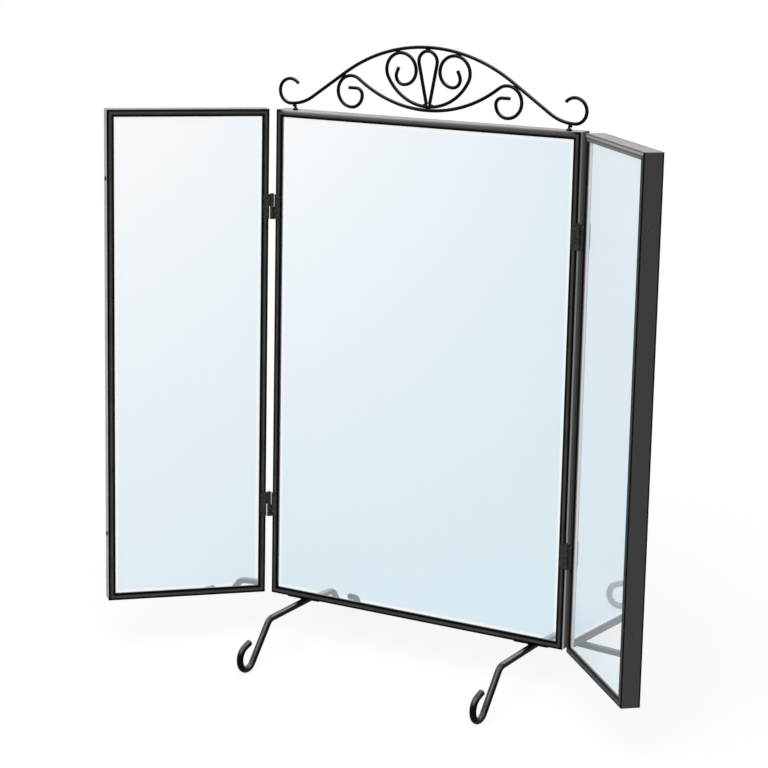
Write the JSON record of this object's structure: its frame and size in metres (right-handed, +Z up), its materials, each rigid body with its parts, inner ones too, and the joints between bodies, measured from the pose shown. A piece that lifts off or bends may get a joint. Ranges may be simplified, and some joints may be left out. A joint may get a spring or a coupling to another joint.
{
  "type": "folding table mirror",
  "caption": "Free-standing folding table mirror in steel frames: a leaning centre panel on bent-rod legs with a scrolled finial, and hinged side wings that swing forward or fold shut.",
  "frame": {"origin": "on the table, under the middle of the box round the whole mirror with its wings as in the picture", "axes": "+Z up, +X to the right of someone who faces the mirror, +Y from the glass to the back"},
  "size_m": [0.7152, 0.3178, 0.7355],
  "materials": {
    "frame_steel": "charcoal powder coat, satin",
    "rod_steel": "black powder coat over bent round rod",
    "hinge_steel": "black painted steel",
    "plated_steel": "zinc plated",
    "mirror_glass": "silvered float glass, faint cool tint",
    "back_board": "pressed brown hardboard"
  },
  "bodies": {
    "centre": {"centre_back_board": "back_board", "centre_back_clips": "plated_steel", "centre_clip_screws": "hinge_steel", "centre_frame": "frame_steel", "centre_glass": "mirror_glass", "finial_arch": "rod_steel", "finial_left_heart": "rod_steel", "finial_left_post": "rod_steel", "finial_lower_scroll": "rod_steel", "finial_nuts": "plated_steel", "finial_right_heart": "rod_steel", "finial_right_post": "rod_steel", "finial_teardrop": "rod_steel", "left_leg": "rod_steel", "left_lower_fixed_leaf": "hinge_steel", "left_lower_hinge_pin": "hinge_steel", "left_upper_fixed_leaf": "hinge_steel", "left_upper_hinge_pin": "hinge_steel", "leg_nuts": "plated_steel", "leg_screws": "hinge_steel", "right_leg": "rod_steel", "right_lower_fixed_leaf": "hinge_steel", "right_lower_hinge_pin": "hinge_steel", "right_upper_fixed_leaf": "hinge_steel", "right_upper_hinge_pin": "hinge_steel"},
    "left_wing": {"left_lower_wing_leaf": "hinge_steel", "left_upper_wing_leaf": "hinge_steel", "left_wing_back_board": "back_board", "left_wing_back_clips": "plated_steel", "left_wing_clip_screws": "hinge_steel", "left_wing_frame": "frame_steel", "left_wing_glass": "mirror_glass"},
    "right_wing": {"right_lower_wing_leaf": "hinge_steel", "right_upper_wing_leaf": "hinge_steel", "right_wing_back_board": "back_board", "right_wing_back_clips": "plated_steel", "right_wing_clip_screws": "hinge_steel", "right_wing_frame": "frame_steel", "right_wing_glass": "mirror_glass"}
  },
  "joints": [
    {"name": "left_wing_hinge", "type": "hinge", "parent": "centre", "child": "left_wing", "pos_m": [-0.2035, -0.00744, 0.3551], "axis": [0, 0.0384, 0.9993], "range_deg": [-58, 134]},
    {"name": "right_wing_hinge", "type": "hinge", "parent": "centre", "child": "right_wing", "pos_m": [0.2035, -0.00744, 0.3551], "axis": [0, -0.0384, -0.9993], "range_deg": [-58, 134]}
  ]
}
